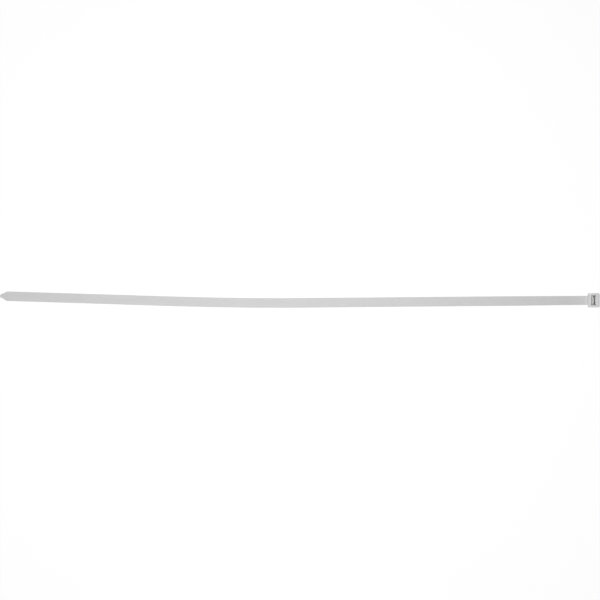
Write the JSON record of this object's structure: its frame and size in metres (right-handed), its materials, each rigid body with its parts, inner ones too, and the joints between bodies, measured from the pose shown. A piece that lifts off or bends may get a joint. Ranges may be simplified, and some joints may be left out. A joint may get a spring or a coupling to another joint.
{
  "type": "cable tie",
  "caption": "Long one-piece nylon cable tie: flat strap with a rack of teeth under it, arrow tip, and a box head with a slot and a self-locking pawl.",
  "frame": {"origin": "centre of the slot, on the entry face of the head, which is the face that the tail goes in by", "axes": "+Z out of the slot the way the tail leaves it, +X from the strap to the closed end of the head, Y across the strap"},
  "size_m": [0.4999, 0.0174, 0.0068],
  "materials": {
    "nylon": "satin moulded natural nylon, slightly translucent"
  },
  "bodies": {
    "root": {"head": "nylon", "strap": "nylon", "tail": "nylon"}
  },
  "joints": []
}
